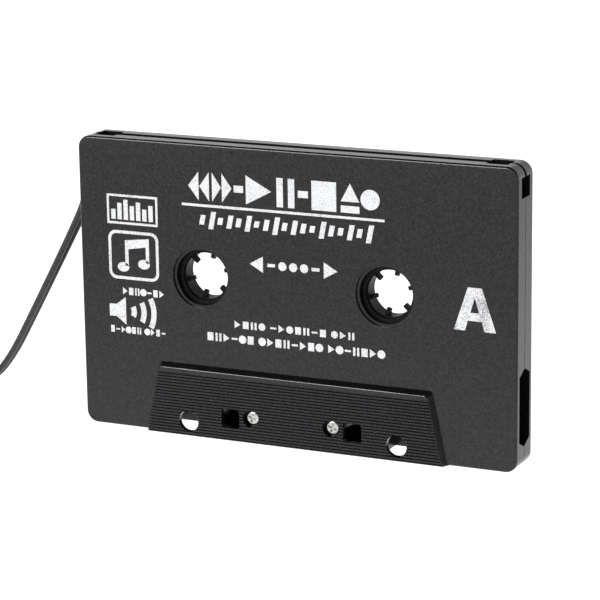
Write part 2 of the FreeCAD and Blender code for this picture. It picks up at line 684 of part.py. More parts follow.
def cord_hank():
    """The outer form of the folded lead: two round end loops drawn together under the tie."""
    left, right = HANK_X
    middle = (left + right) / 2
    reach = right - middle - HANK_HALF
    quarter = [(reach, HANK_HALF), (reach - 7.0, HANK_HALF - 0.8), (4.0, HANK_WAIST), (0.0, HANK_WAIST)]
    upper = quarter + [(-x, y) for x, y in reversed(quarter[:-1])]
    lower = [(-x, -y) for x, y in upper]

    def at(x, y):
        return Vector(middle + x, y, 0)

    edges = []
    for side, first in ((upper, -1), (lower, 1)):
        edges += [Part.LineSegment(at(*a), at(*b)).toShape() for a, b in zip(side, side[1:])]
        end = side[-1]
        tip = at(first * (reach + HANK_HALF), 0)
        edges.append(Part.Arc(at(*end), tip, at(end[0], -end[1])).toShape())
    solid = Part.Face(Part.Wire(edges)).extrude(Vector(0, 0, HANK_HEIGHT))
    rims = [edge for edge in solid.Edges if edge.BoundBox.ZMin > HANK_HEIGHT - 0.01]
    solid = solid.makeFillet(HANK_EDGE, rims)
    groove = box((middle - TIE_HALF_LENGTH, middle + TIE_HALF_LENGTH), (-20, 20), (-1, HANK_HEIGHT + 1))
    return solid.cut(groove.cut(tie_core(TIE_HALF_LENGTH + 1)))


def tie_core(half_length):
    """What the tie goes round: the waist of the hank, a little off the ground."""
    middle = (HANK_X[0] + HANK_X[1]) / 2
    side = HANK_WAIST - TIE_THICKNESS
    xs = (middle - half_length, middle + half_length)
    return box(xs, (-side, side), (TIE_THICKNESS, HANK_HEIGHT - TIE_THICKNESS))


def cord_tie():
    """A flat tie round the waist, with its two ends twisted together on top."""
    middle = (HANK_X[0] + HANK_X[1]) / 2
    xs = (middle - TIE_HALF_LENGTH, middle + TIE_HALF_LENGTH)
    band = box(xs, (-HANK_WAIST, HANK_WAIST), (0, HANK_HEIGHT)).cut(tie_core(TIE_HALF_LENGTH + 1))
    foot = Vector(middle, 0, HANK_HEIGHT - 0.1)
    twist = Part.makeCylinder(TWIST_RADIUS, TWIST_LENGTH, foot, Vector(*TWIST_DIRECTION))
    above = box(HANK_X, (-HANK_HALF, HANK_HALF), (HANK_HEIGHT - 0.1, HANK_HEIGHT + TWIST_LENGTH))
    return band.fuse(twist.common(above)).removeSplitter()


# ---------------------------------------------------------------- plug


def plug_piece(profile, start):
    """A turned piece of the plug; start is its distance from where the lead enters."""
    return turned(profile, Vector(PLUG_X - start, PLUG_Y, PLUG_Z), Vector(-1, 0, 0))


def plug_relief():
    """The flexible sleeve, thinner towards the lead, with rings cut in it."""
    profile = [(0, 1.7)]
    for number in range(4):
        at, radius = 0.9 + 1.9 * number, 1.85 + 0.2 * number
        groove = radius - 0.35
        profile += [(at, radius), (at + 0.6, groove), (at + 1.0, groove), (at + 1.5, radius + 0.15)]
    return plug_piece(profile + [(RELIEF_LENGTH, 2.7)], 0)


def plug_body():
    """The moulded grip, with shallow rings for the fingers."""
    profile = [(0, 3.0), (0.6, 3.6), (2.4, 3.75)]
    for number in range(5):
        at = 4.0 + 1.8 * number
        profile += [(at, 3.85), (at + 0.4, 3.5), (at + 0.8, 3.5), (at + 1.2, 3.9)]
    profile += [(14.6, 4.2), (17.6, 4.2), (BODY_LENGTH - 0.4, 3.9), (BODY_LENGTH, 3.4)]
    return plug_piece(profile, RELIEF_LENGTH)


def plug_contacts():
    """The pin's pieces in order from the body: name and solid."""
    start = RELIEF_LENGTH + BODY_LENGTH
    lengths = {
        "plug_sleeve": SLEEVE_LENGTH,
        "plug_insulator_inner": SPACER_LENGTH,
        "plug_ring": RING_LENGTH,
        "plug_insulator_outer": SPACER_LENGTH,
    }
    pieces = {}
    for name, length in lengths.items():
        pieces[name] = plug_piece([(0, PIN_RADIUS), (length, PIN_RADIUS)], start)
        start += length
    tip = [(0, PIN_RADIUS), (0.5, 1.45), (0.9, 1.35), (1.5, 1.7), (2.0, 1.72), (TIP_LENGTH, 0.55)]
    pieces["plug_tip"] = plug_piece(tip, start)
    return pieces


# ---------------------------------------------------------------- all nodes


def nodes():
    idler_pin_end = INNER_FACE - 0.01
    made = {
        "front_shell": front_shell(),
        "rear_shell": rear_shell(),
        "case_screws": Part.makeCompound([screw(-1), screw(1)]),
        "left_hub": hub(-HUB_X, 0),
        "right_hub": hub(HUB_X, 180 / HUB_TEETH),
        "idler_gear": idler_gear(),
        "idler_pin": drum(0, HUB_Z, IDLER_PIN_RADIUS, (-idler_pin_end, idler_pin_end)),
        "head_can": head_can(),
        "head_core": head_core(),
        "head_fill": head_fill(),
        "head_pins": head_pins(),
        "head_carrier": head_carrier(),
        "head_spring": head_spring(),
        "matching_board": matching_board(),
        "inner_cord": inner_cord(),
        "cord_grip": cord_grip(),
        "cord": lead_stretch("cord", ROUTE),
        "cord_hank": cord_hank(),
        "cord_tie": cord_tie(),
        "cord_tail": lead_stretch("cord_tail", TAIL),
        "plug_relief": plug_relief(),
        "plug_body": plug_body(),
    }
    made.update(plug_contacts())
    for name, z in RESISTOR_ROWS.items():
        made[name] = resistor(z)
    for number, name in enumerate(("left_core", "shared_core", "right_core")):
        made[name] = core_wire(0.45 * (number - 1))
    for number, name in enumerate(("left_signal", "left_return", "right_return", "right_signal")):
        made[name + "_wire"] = head_wire(number)
    return made


def main():
    os.makedirs("parts", exist_ok=True)
    for name, shape in nodes().items():
        solids = shape.Solids
        if not solids or not shape.isValid():
            print("CHECK", name, "solids", len(solids), "valid", shape.isValid())
        shape = solids[0] if len(solids) == 1 else Part.makeCompound(solids)
        shape.exportStep(os.path.join("parts", name + ".step"))


main()
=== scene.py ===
import json
import math

import bpy
from mathutils import Matrix, Vector


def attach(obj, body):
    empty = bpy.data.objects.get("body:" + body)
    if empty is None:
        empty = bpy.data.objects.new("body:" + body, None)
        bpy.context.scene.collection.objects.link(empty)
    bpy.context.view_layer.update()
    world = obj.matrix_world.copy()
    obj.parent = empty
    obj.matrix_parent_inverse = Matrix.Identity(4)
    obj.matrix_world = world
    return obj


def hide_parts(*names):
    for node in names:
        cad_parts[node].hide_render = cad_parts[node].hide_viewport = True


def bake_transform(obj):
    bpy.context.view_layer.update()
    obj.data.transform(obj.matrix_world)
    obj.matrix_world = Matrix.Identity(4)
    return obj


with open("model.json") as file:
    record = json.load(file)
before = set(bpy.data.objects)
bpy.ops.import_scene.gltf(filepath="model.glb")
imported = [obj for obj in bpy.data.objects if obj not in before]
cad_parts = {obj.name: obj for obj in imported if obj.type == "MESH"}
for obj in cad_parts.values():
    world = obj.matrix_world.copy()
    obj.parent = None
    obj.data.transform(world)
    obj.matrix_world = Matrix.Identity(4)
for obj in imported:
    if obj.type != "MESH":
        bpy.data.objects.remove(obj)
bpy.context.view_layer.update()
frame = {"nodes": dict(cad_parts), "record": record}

# A cassette-shaped audio adapter. The case stands on its long open edge, and its lead leaves at the left.
# Lengths are millimetres where nothing else is said. Blender's own unit is the metre.
MM = 0.001

# ---- camera ----
TARGET = Vector((-0.179, 0.0, 31.029)) * MM
DISTANCE = 569.23 * MM
AZIMUTH = math.radians(25.084)
ELEVATION = math.radians(14.056)
ROLL = math.radians(-0.794)
LENS = 162.05

# ---- case ----
FACE = 4.35
CASE_BLACK = (0.0062, 0.0064, 0.0082)
SMOOTH_GRAIN = 0.12  # how much of the face's grain is left on what stands out from it

# ---- print ----
INK_THICKNESS = 0.03
INK_SINK = 0.005
PRINT_WHITE = (0.6, 0.605, 0.615)
MARK_PITCH = 2.13  # of the bars in the waveform
BAR_PITCH = 1.5  # of the bars in the equaliser
RAY_CENTRE = -39.9  # of the loudspeaker's arcs
HEADING = (51.7, 57.9)  # the lower and the upper edge of the large marks
DISC_STEPS = 23

# ---- floor, surround and lights: here lengths are metres, and power is in watts ----
FLOOR_HALF = 4.0
FLOOR_HEIGHT = -0.1 * MM
FLOOR_GLOW = (0.72, 1.2)  # the dim and the bright value
GLOW_FRONT = (-0.2, -0.02)  # Y over which the floor brightens
GLOW_RIGHT = (0.14, 0.06)  # X over which the floor brightens
GLOW_FAR = (0.25, 0.5)  # distance from the middle over which it brightens again
CEILING_RISE = (0.35, 0.5)  # height of a direction where the surround turns into the ceiling
CEILING_GLOW = 0.02
LIGHTS = [
    # name, place, width and power
    ("front_light", (-0.7, -1.4, 0.75), 0.7, 24.0),
    ("left_light", (-1.3, -0.9, 0.8), 1.0, 4.0),
    ("right_light", (0.9, -1.2, 1.2), 1.0, 3.0),
]

# ---- lead ----
CONDUCTOR_RADIUS = 0.7
LEAD_WIDTH = 2.8
WEB_HALF = 0.34
EXIT = (-50.2, 0.2, 58.5)
ROUTE = [
    EXIT,
    (-51.3, 0.55, 57.0),
    (-51.45, 1.5, 53.4),
    (-52.2, 3.3, 48.8),
    (-56.3, 4.6, 41.9),
    (-61.9, 5.5, 32.4),
    (-69.8, 6.4, 18.9),
    (-75.2, 7.0, 9.9),
    (-81.0, 7.5, 3.2),
    (-88.6, 8.1, 1.0),
]
LANDING = (-93.0, 8.4, 1.25, 0.45)  # the first point on the ground, written as TAIL's points are
FREE_TILT = math.radians(11)
ON_EDGE = math.radians(90)
HANK_MIDDLE = -113.0
HANK_REACH = 15.8
TURN_RADII = (5.6, 8.5)  # of the innermost and the outermost turn, where they go round the ends
WAIST = (0.8, 3.8)  # how far from the middle the same turns pass under the tie
LAYERS = (1.5, 4.25, 7.0)
LAYER_TURNS = 2.5
LAST_TURNS = 2.16
TIE_HALF = (5.4, 4.2)
TIE_SQUARENESS = 5
TIE_HALF_LENGTH = 1.6
TIE_THICKNESS = 0.5
BAND_STEPS = 64
TWIST_DIRECTION = (0.55, 0.3, 0.5)
TWIST_LENGTH = 9.0
TWIST_TURNS = 3.5
TWIST_STEPS = 72
TWIST_SINK = 0.1  # into the top of the band
STRAND_OFFSET = 0.28
STRAND_FLARE = (0.8, 0.25)  # the share of the length where the ends part, and how far they part
STRAND_SIZE = (0.62, 0.34)
CLIMB = 0.3  # of a turn, between two layers
POINTS_PER_TURN = 24
TAIL = [
    # x, y, z and how far the flat lead stands on edge, from 1 to 0
    (-121.5, 2.9, 7.3, 0.8),
    (-127.0, 4.1, 8.4, 0.35),
    (-132.5, 4.2, 9.35, 0.0),
    (-138.0, 3.9, 9.3, 0.0),
    (-142.5, 3.4, 7.4, 0.0),
    (-147.0, 3.05, 5.0, 0.0),
    (-150.0, 3.0, 4.25, 0.0),
    (-153.5, 3.0, 4.2, 0.0),
]

PLUG_NODES = [
    "plug_relief",
    "plug_body",
    "plug_sleeve",
    "plug_insulator_inner",
    "plug_ring",
    "plug_insulator_outer",
    "plug_tip",
]
HEAD_LINKS = [
    "head_spring",
    "left_signal_wire",
    "left_return_wire",
    "right_return_wire",
    "right_signal_wire",
]


# ---------------------------------------------------------------- node trees


def node(tree, kind, settings=None, **inputs):
    """Adds a node. Inputs are named with _ for a space, and take a value or another node's output."""
    made = tree.nodes.new(kind)
    for name, value in (settings or {}).items():
        setattr(made, name, value)
    for name, value in inputs.items():
        socket = made.inputs[name.replace("_", " ")]
        if isinstance(value, bpy.types.NodeSocket):
            tree.links.new(value, socket)
        else:
            socket.default_value = value
    return made


def noise(tree, size, detail=2.0, roughness=0.5, stretch=(1, 1, 1)):
    """Noise from 0 to 1 whose lumps are about size millimetres across."""
    place = node(tree, "ShaderNodeTexCoord").outputs["Object"]
    if stretch != (1, 1, 1):
        place = node(tree, "ShaderNodeMapping", Vector=place, Scale=stretch).outputs[0]
    scale = 1 / (size * MM)
    made = node(tree, "ShaderNodeTexNoise", Vector=place, Scale=scale, Detail=detail, Roughness=roughness)
    return made.outputs[0]


def mapped(tree, value, low, high, to_low, to_high):
    """A value moved from one range to another, and held inside it."""
    made = node(tree, "ShaderNodeMapRange", {"clamp": True}, Value=value)
    for name, number in (("From Min", low), ("From Max", high), ("To Min", to_low), ("To Max", to_high)):
        made.inputs[name].default_value = number
    return made.outputs[0]


def maths(tree, operation, first, second):
    """The result of one sum. Each of its two values is a number or a node's output."""
    made = node(tree, "ShaderNodeMath", {"operation": operation})
    for socket, value in zip(made.inputs, (first, second)):
        if isinstance(value, bpy.types.NodeSocket):
            tree.links.new(value, socket)
        else:
            socket.default_value = value
    return made.outputs[0]


def blended(tree, share, first, second):
    """A colour between two others. Each is three numbers or a node's output."""
    made = node(tree, "ShaderNodeMix", {"data_type": "RGBA"})
    tree.links.new(share, made.inputs[0])
    for socket, value in ((made.inputs[6], first), (made.inputs[7], second)):
        if isinstance(value, bpy.types.NodeSocket):
            tree.links.new(value, socket)
        else:
            socket.default_value = (*value, 1)
    return made.outputs[2]


def edges(tree, radius):
    """About 1 along the edges of a piece and 0 on its flats."""
    rounded = node(tree, "ShaderNodeBevel", {"samples": 6}, Radius=radius * MM).outputs[0]
    flat = node(tree, "ShaderNodeNewGeometry").outputs["Normal"]
    made = node(tree, "ShaderNodeVectorMath", {"operation": "DOT_PRODUCT"})
    tree.links.new(rounded, made.inputs[0])
    tree.links.new(flat, made.inputs[1])
    return mapped(tree, made.outputs["Value"], 0.995, 0.86, 0.0, 1.0)


def new_material(name):
    """A material with an empty tree and its Principled shader."""
    made = bpy.data.materials.new(name)
    made.use_nodes = True
    tree = made.node_tree
    shader = tree.nodes["Principled BSDF"]
    return made, tree, shader


def scaled(colour, factor):
    """A colour made darker or lighter by a factor."""
    return tuple(channel * factor for channel in colour)


def plastic(
    name, colour, roughness, grain=0.3, bump=0.012, wear=0.3, cloud=9.0, speck=0.8, shine=0.5, face=None
):
    """Moulded plastic: an even fine grain, faint clouds in its colour, and edges rubbed a little smoother.
    face is how far from the middle the grained faces are: what stands out further is smooth."""
    made, tree, shader = new_material(name)
    fine = noise(tree, grain, detail=3.0, roughness=0.6)
    coarse = noise(tree, cloud, detail=4.0)
    rubs = mapped(tree, noise(tree, 1.6, detail=4.0), 0.35, 0.7, 0.1, wear)
    worn = maths(tree, "MULTIPLY", edges(tree, 0.35), rubs)
    base = blended(tree, coarse, scaled(colour, 0.86), scaled(colour, 1.16))
    grained = 1.0
    if face:
        place = node(tree, "ShaderNodeTexCoord").outputs["Object"]
        depth = node(tree, "ShaderNodeSeparateXYZ", Vector=place).outputs["Y"]
        depth = maths(tree, "ABSOLUTE", depth, 0.0)
        grained = mapped(tree, depth, (face + 0.03) * MM, (face + 0.06) * MM, 1.0, SMOOTH_GRAIN)
    speckled = blended(tree, mapped(tree, fine, 0.3, 0.7, 0.0, 1.0), scaled(colour, speck), base)
    shade = blended(tree, worn, speckled, scaled(colour, 2.4))
    gloss = mapped(tree, fine, 0.3, 0.7, roughness - 0.06, roughness + 0.06)
    rubbed = maths(tree, "SUBTRACT", gloss, maths(tree, "MULTIPLY", worn, 0.25))
    relief = node(tree, "ShaderNodeBump", Strength=grained, Distance=bump * MM, Height=fine).outputs[0]
    glint = mapped(tree, fine, 0.3, 0.7, shine * 0.75, shine * 1.25)
    tree.links.new(glint, shader.inputs["Specular IOR Level"])
    tree.links.new(shade, shader.inputs["Base Color"])
    tree.links.new(rubbed, shader.inputs["Roughness"])
    tree.links.new(relief, shader.inputs["Normal"])
    return made


def metal(name, colour, roughness, lines=(1, 1, 1), scratch=0.2, stain=0.25):
    """Bare or plated metal: fine lines or scratches, and a dull film here and there."""
    made, tree, shader = new_material(name)
    film = noise(tree, 1.4, detail=5.0)
    fine = noise(tree, scratch, detail=4.0, stretch=lines)
    shade = blended(tree, mapped(tree, film, 0.45, 0.75, 0.0, stain), colour, scaled(colour, 0.55))
    gloss = mapped(tree, fine, 0.25, 0.75, roughness * 0.6, roughness * 1.5)
    relief = node(tree, "ShaderNodeBump", Strength=0.6, Distance=0.004 * MM, Height=fine).outputs[0]
    shader.inputs["Metallic"].default_value = 1.0
    tree.links.new(shade, shader.inputs["Base Color"])
    tree.links.new(gloss, shader.inputs["Roughness"])
    tree.links.new(relief, shader.inputs["Normal"])
    return made


def ink(name, colour, beneath, loss):
    """Screen-printed ink: it sits on the grain's peaks and leaves dark pinholes where the grain is deep."""
    made, tree, shader = new_material(name)
    pinholes = noise(tree, 0.16, detail=2.0, roughness=0.7)
    patches = noise(tree, 3.2, detail=3.0)
    depth = mapped(tree, patches, 0.3, 0.75, 0.02, loss)
    bared = maths(tree, "ADD", mapped(tree, pinholes, 0.35, 0.85, -0.55, 0.9), depth)
    holes = mapped(tree, bared, 0.1, 0.45, 0.0, 0.8)
    shade = blended(tree, holes, colour, beneath)
    relief = node(tree, "ShaderNodeBump", Strength=0.8, Distance=0.01 * MM, Height=pinholes).outputs[0]
    tree.links.new(shade, shader.inputs["Base Color"])
    tree.links.new(mapped(tree, pinholes, 0.3, 0.7, 0.42, 0.6), shader.inputs["Roughness"])
    tree.links.new(relief, shader.inputs["Normal"])
    return made


def stage_material():
    """A sheet that glows, so that nothing on it casts a dark shadow."""
    made, tree, shader = new_material("lit_sheet")
    shader.inputs["Base Color"].default_value = (0.3, 0.3, 0.3, 1)
    shader.inputs["Roughness"].default_value = 0.9
    shader.inputs["Specular IOR Level"].default_value = 0.0
    shader.inputs["Emission Color"].default_value = (1, 1, 1, 1)
    place = node(tree, "ShaderNodeTexCoord").outputs["Object"]
    along = node(tree, "ShaderNodeSeparateXYZ", Vector=place).outputs
    front = mapped(tree, along["Y"], *GLOW_FRONT, *FLOOR_GLOW)
    right = mapped(tree, along["X"], *GLOW_RIGHT, *FLOOR_GLOW)
    near = maths(tree, "MINIMUM", front, right)
    reach = node(tree, "ShaderNodeVectorMath", {"operation": "LENGTH"}, Vector=place).outputs["Value"]
    far = mapped(tree, reach, *GLOW_FAR, 0.0, FLOOR_GLOW[1])
    tree.links.new(maths(tree, "MAXIMUM", near, far), shader.inputs["Emission Strength"])
    return made


def slot_materials():
    """The finish of each material slot in the record."""
    drawn = (1, 1, 0.08)
    turned = (1, 0.12, 0.12)
    hub_black = (0.005, 0.005, 0.0055)
    lead_black = (0.0105, 0.0105, 0.011)
    plug_black = (0.013, 0.013, 0.0135)
    return {
        "case_plastic": plastic(
            "case_plastic", CASE_BLACK, 0.22, grain=0.42, bump=0.014, speck=0.35, shine=0.41, face=FACE
        ),
        "hub_plastic": plastic("hub_plastic", hub_black, 0.42, grain=0.5, bump=0.003, shine=0.12),
        "gear_plastic": plastic("gear_plastic", (0.72, 0.70, 0.64), 0.38, grain=0.6, bump=0.003),
        "clip_plastic": plastic("clip_plastic", (0.04, 0.04, 0.045), 0.45, grain=0.5, bump=0.006),
        "lead_jacket": plastic(
            "lead_jacket", lead_black, 0.34, grain=0.8, bump=0.004, wear=0.15, cloud=14.0
        ),
        "plug_moulding": plastic("plug_moulding", plug_black, 0.42, grain=0.35, bump=0.008, wear=0.5),
        "tie": plastic("tie", (0.012, 0.012, 0.012), 0.35, grain=0.5, bump=0.006, wear=0.6),
        "insulator": plastic("insulator", (0.012, 0.012, 0.012), 0.35, grain=0.4, bump=0.003),
        "head_resin": plastic("head_resin", (0.03, 0.03, 0.035), 0.3, grain=0.5, bump=0.004),
        "board": plastic("board", (0.33, 0.19, 0.08), 0.4, grain=0.5, bump=0.006, cloud=3.0),
        "resistor": plastic("resistor", (0.55, 0.42, 0.27), 0.3, grain=0.5, bump=0.004),
        "red_wire": plastic("red_wire", (0.45, 0.02, 0.015), 0.35, grain=0.5, bump=0.003),
        "white_wire": plastic("white_wire", (0.75, 0.75, 0.72), 0.35, grain=0.5, bump=0.003),
        "black_wire": plastic("black_wire", (0.015, 0.015, 0.015), 0.35, grain=0.5, bump=0.003),
        "green_wire": plastic("green_wire", (0.02, 0.20, 0.05), 0.35, grain=0.5, bump=0.003),
        "screw_steel": metal("screw_steel", (0.50, 0.50, 0.49), 0.16, scratch=0.25, stain=0.5),
        "spring_steel": metal("spring_steel", (0.55, 0.55, 0.56), 0.32, lines=drawn),
        "head_shield": metal("head_shield", (0.62, 0.61, 0.58), 0.25, lines=turned),
        "head_core": metal("head_core", (0.36, 0.35, 0.34), 0.22, lines=turned),
        "bare_copper": metal("bare_copper", (0.82, 0.47, 0.28), 0.3, lines=drawn),
        "plug_metal": metal("plug_metal", (0.76, 0.75, 0.72), 0.2, lines=turned),
    }


# ---------------------------------------------------------------- camera, floor and light


def make_camera():
    """A camera at DISTANCE from TARGET, turned by its three angles."""
    level = math.cos(ELEVATION)
    back = Vector((math.sin(AZIMUTH) * level, -math.cos(AZIMUTH) * level, math.sin(ELEVATION)))
    right = Vector((math.cos(AZIMUTH), math.sin(AZIMUTH), 0))
    up = back.cross(right)
    rolled_right = right * math.cos(ROLL) + up * math.sin(ROLL)
    rolled_up = up * math.cos(ROLL) - right * math.sin(ROLL)
    camera = bpy.data.objects.new("camera", bpy.data.cameras.new("camera"))
    bpy.context.scene.collection.objects.link(camera)
    camera.matrix_world = Matrix((rolled_right, rolled_up, back)).transposed().to_4x4()
    camera.location = TARGET + back * DISTANCE
    camera.data.lens = LENS
    camera.data.sensor_width = 36
    camera.data.clip_start = 0.01
    camera.data.clip_end = 50
    bpy.context.scene.camera = camera


def make_floor():
    """A square sheet just below the case."""
    signs = ((-1, -1), (1, -1), (1, 1), (-1, 1))
    corners = [(x * FLOOR_HALF, y * FLOOR_HALF, FLOOR_HEIGHT) for x, y in signs]
    mesh = bpy.data.meshes.new("floor")
    mesh.from_pydata(corners, [], [(0, 1, 2, 3)])
    floor = bpy.data.objects.new("floor", mesh)
    bpy.context.scene.collection.objects.link(floor)
    floor.data.materials.append(stage_material())


def make_world():
    """A white surround under a dark ceiling."""
    world = bpy.data.worlds.new("studio")
    bpy.context.scene.world = world
    world.use_nodes = True
    tree = world.node_tree
    direction = node(tree, "ShaderNodeTexCoord").outputs["Generated"]
    height = node(tree, "ShaderNodeSeparateXYZ", Vector=direction).outputs["Z"]
    background = tree.nodes["Background"]
    background.inputs["Color"].default_value = (1, 1, 1, 1)
    strength = mapped(tree, height, *CEILING_RISE, 1.0, CEILING_GLOW)
    tree.links.new(strength, background.inputs["Strength"])


def make_light(name, place, size, power):
    """A square soft light that faces the middle of the case."""
    data = bpy.data.lights.new(name, "AREA")
    data.shape = "SQUARE"
    data.size = size
    data.energy = power
    light = bpy.data.objects.new(name, data)
    bpy.context.scene.collection.objects.link(light)
    light.location = place
    light.rotation_mode = "QUATERNION"
    light.rotation_quaternion = (Vector(place) - TARGET).to_track_quat("Z", "Y")


# ---------------------------------------------------------------- meshes


def add_mesh(name, vertices, faces, material):
    """A piece with flat faces and one material."""
    mesh = bpy.data.meshes.new(name)
    mesh.from_pydata(vertices, [], faces)
    mesh.validate()
    mesh.materials.append(material)
    piece = bpy.data.objects.new(name, mesh)
    bpy.context.scene.collection.objects.link(piece)
    return piece


# ---------------------------------------------------------------- lead


def lead_section():
    """The flat lead's outline: two round cores side by side, joined by a web."""
    start = math.acos((LEAD_WIDTH / 2 - CONDUCTOR_RADIUS) / CONDUCTOR_RADIUS)
    start = max(start, math.asin(WEB_HALF / CONDUCTOR_RADIUS))
    centre = LEAD_WIDTH / 2 - CONDUCTOR_RADIUS
    count = 12
    right = []
    for step in range(count + 1):
        angle = (math.pi - start) * (2 * step / count - 1)
        right.append((centre + CONDUCTOR_RADIUS * math.cos(angle), CONDUCTOR_RADIUS * math.sin(angle)))
    return right + [(-x, -y) for x, y in right]


def add_profile(name, points):
    """A hidden closed outline that a curve is given as its section."""
    curve = bpy.data.curves.new(name, "CURVE")
    curve.dimensions = "2D"
    curve.fill_mode = "NONE"
    spline = curve.splines.new("POLY")
    spline.points.add(len(points) - 1)
    for point, (x, y) in zip(spline.points, points):
        point.co = (x * MM, y * MM, 0, 1)
    spline.use_cyclic_u = True
    profile = bpy.data.objects.new(name, curve)
    bpy.context.scene.collection.objects.link(profile)
    profile.hide_render = True
    profile.hide_viewport = True
    return profile


def hank_place(turns, depth):
    """Where a turn of the hank is, seen from above: turns counts from the right end of the rear run.
    depth is 0 in the innermost turn and 1 in the outermost."""
    radius = TURN_RADII[0] + depth * (TURN_RADII[1] - TURN_RADII[0])
    waist = WAIST[0] + depth * (WAIST[1] - WAIST[0])
    run, bend = 2 * HANK_REACH, math.pi * radius
    distance = (turns % 0.5) * 2 * (run + bend)
    if distance < run:
        x, y = HANK_REACH - distance, radius
    else:
        angle = (distance - run) / radius
        x, y = -HANK_REACH - radius * math.sin(angle), radius * math.cos(angle)
    if turns % 1 >= 0.5:
        x, y = -x, -y
    drawn = math.cos(math.pi / 2 * min(abs(x) / HANK_REACH, 1)) ** 2
    return HANK_MIDDLE + x, y * (1 - drawn * (1 - waist / radius))


def hank_points():
    """The turns, layer by layer: inwards, outwards and inwards again, each layer on top of the last."""
    points = []
    turned = 0.0
    for layer, height in enumerate(LAYERS):
        last = layer == len(LAYERS) - 1
        turns = LAST_TURNS if last else LAYER_TURNS
        steps = round(turns * POINTS_PER_TURN)
        for step in range(steps):
            done = step * turns / steps
            share = min(done / (LAYER_TURNS - CLIMB), 1)
            depth = share if layer % 2 else 1 - share
            z = height
            if not last:
                rise = max(0.0, (done - LAYER_TURNS + CLIMB) / CLIMB)
                z += rise * rise * (3 - 2 * rise) * (LAYERS[layer + 1] - height)
            points.append((*hank_place(turned + done, depth), z, 1.0))
        turned += turns
    return points


def make_lead(material):
    """The whole lead as one spline: down to the ground, along it, round the hank and into the plug."""
    points = [(*place, 0.0) for place in ROUTE]
    points += [LANDING] + hank_points() + TAIL
    curve = bpy.data.curves.new("lead", "CURVE")
    curve.dimensions = "3D"
    curve.twist_mode = "Z_UP"
    curve.resolution_u = 5
    curve.bevel_mode = "OBJECT"
    curve.bevel_object = add_profile("lead_section", lead_section())
    curve.use_fill_caps = True
    spline = curve.splines.new("NURBS")
    spline.points.add(len(points) - 1)
    for index, (point, (x, y, z, edge)) in enumerate(zip(spline.points, points)):
        point.co = (x * MM, y * MM, z * MM, 1)
        settled = min(index / (len(ROUTE) - 2), 1)
        point.tilt = FREE_TILT * (1 - settled) + ON_EDGE * edge
    spline.order_u = 3
    spline.use_endpoint_u = True
    lead = bpy.data.objects.new("lead", curve)
    bpy.context.scene.collection.objects.link(lead)
    curve.materials.append(material)
    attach(lead, "root")
    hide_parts("cord", "cord_hank", "cord_tail")
    return lead


# ---------------------------------------------------------------- tie


def sweep(name, stations, outline, material, closed=False):
    """A bar with the given outline through a list of (place, across, outwards), all in millimetres."""
    count = len(outline)
    vertices = []
    for place, across, outwards in stations:
        vertices += [(place + across * u + outwards * v) * MM for u, v in outline]
    faces = []
    for start in range(len(stations) if closed else len(stations) - 1):
        after = (start + 1) % len(stations)
        for corner in range(count):
            beside = (corner + 1) % count
            near, far = start * count, after * count
            faces.append((near + corner, near + beside, far + beside, far + corner))
    if not closed:
        last = (len(stations) - 1) * count
        faces.append(tuple(reversed(range(count))))
        faces.append(tuple(range(last, last + count)))
    return add_mesh(name, vertices, faces, material)


def tie_outline(half_width, thickness):
    """A flat strip with a wire moulded into its middle."""
    core = thickness * 0.55
    return [
        (-half_width, -thickness / 2),
        (half_width, -thickness / 2),
        (half_width, thickness * 0.1),
        (core * 1.6, thickness * 0.1),
        (core, thickness / 2),
        (-core, thickness / 2),
        (-core * 1.6, thickness * 0.1),
        (-half_width, thickness * 0.1),
    ]


def make_tie(material):
    """The band round the waist of the hank, and its two ends twisted together on top."""
    along = Vector((1, 0, 0))
    half_y, half_z = TIE_HALF[0] - TIE_THICKNESS / 2, TIE_HALF[1] - TIE_THICKNESS / 2
    centre = Vector((HANK_MIDDLE, 0, TIE_HALF[1]))
    stations = []
    for step in range(BAND_STEPS):
        angle = 2 * math.pi * step / BAND_STEPS
        y, z = math.cos(angle), math.sin(angle)
        bulge = (abs(y) ** TIE_SQUARENESS + abs(z) ** TIE_SQUARENESS) ** (-1 / TIE_SQUARENESS)
        place = centre + Vector((0, half_y * y * bulge, half_z * z * bulge))
        slope = [abs(value) ** (TIE_SQUARENESS - 1) * value for value in (y, z)]
        stations.append((place, along, Vector((0, *slope)).normalized()))
    band = sweep("tie_band", stations, tie_outline(TIE_HALF_LENGTH, TIE_THICKNESS), material, closed=True)
    direction = Vector(TWIST_DIRECTION).normalized()
    side = direction.orthogonal().normalized()
    other = direction.cross(side)
    foot = Vector((HANK_MIDDLE, 0, 2 * TIE_HALF[1] - TWIST_SINK))
    strands = []
    for strand in (0, 1):
        stations = []
        for step in range(TWIST_STEPS + 1):
            share = step / TWIST_STEPS
            angle = 2 * math.pi * TWIST_TURNS * share + math.pi * strand
            parting, flare = STRAND_FLARE
            spread = STRAND_OFFSET + flare * max(0.0, share - parting) / (1 - parting)
            outwards = side * math.cos(angle) + other * math.sin(angle)
            across = other * math.cos(angle) - side * math.sin(angle)
            place = foot + direction * (TWIST_LENGTH * share) + outwards * spread
            stations.append((place, across, outwards))
        strands.append(sweep(f"tie_end_{strand + 1}", stations, tie_outline(*STRAND_SIZE), material))
    for piece in (band, *strands):
        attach(piece, "root")
    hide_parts("cord_tie")
    return [band, *strands]


# ---------------------------------------------------------------- prints
# A shape is a list of outlines in millimetres, across and up on the face.
# An outline inside another is a hole.


def slab(left, right, low, high, lean=0.0):
    """An upright or leaning bar."""
    return [[(left, low), (right, low), (right + lean, high), (left + lean, high)]]


def arc(x, z, radius, first, last, count=16):
    """Points on a circle between two angles in degrees."""
    angles = [math.radians(first + (last - first) * step / count) for step in range(count + 1)]
    return [(x + radius * math.cos(angle), z + radius * math.sin(angle)) for angle in angles]


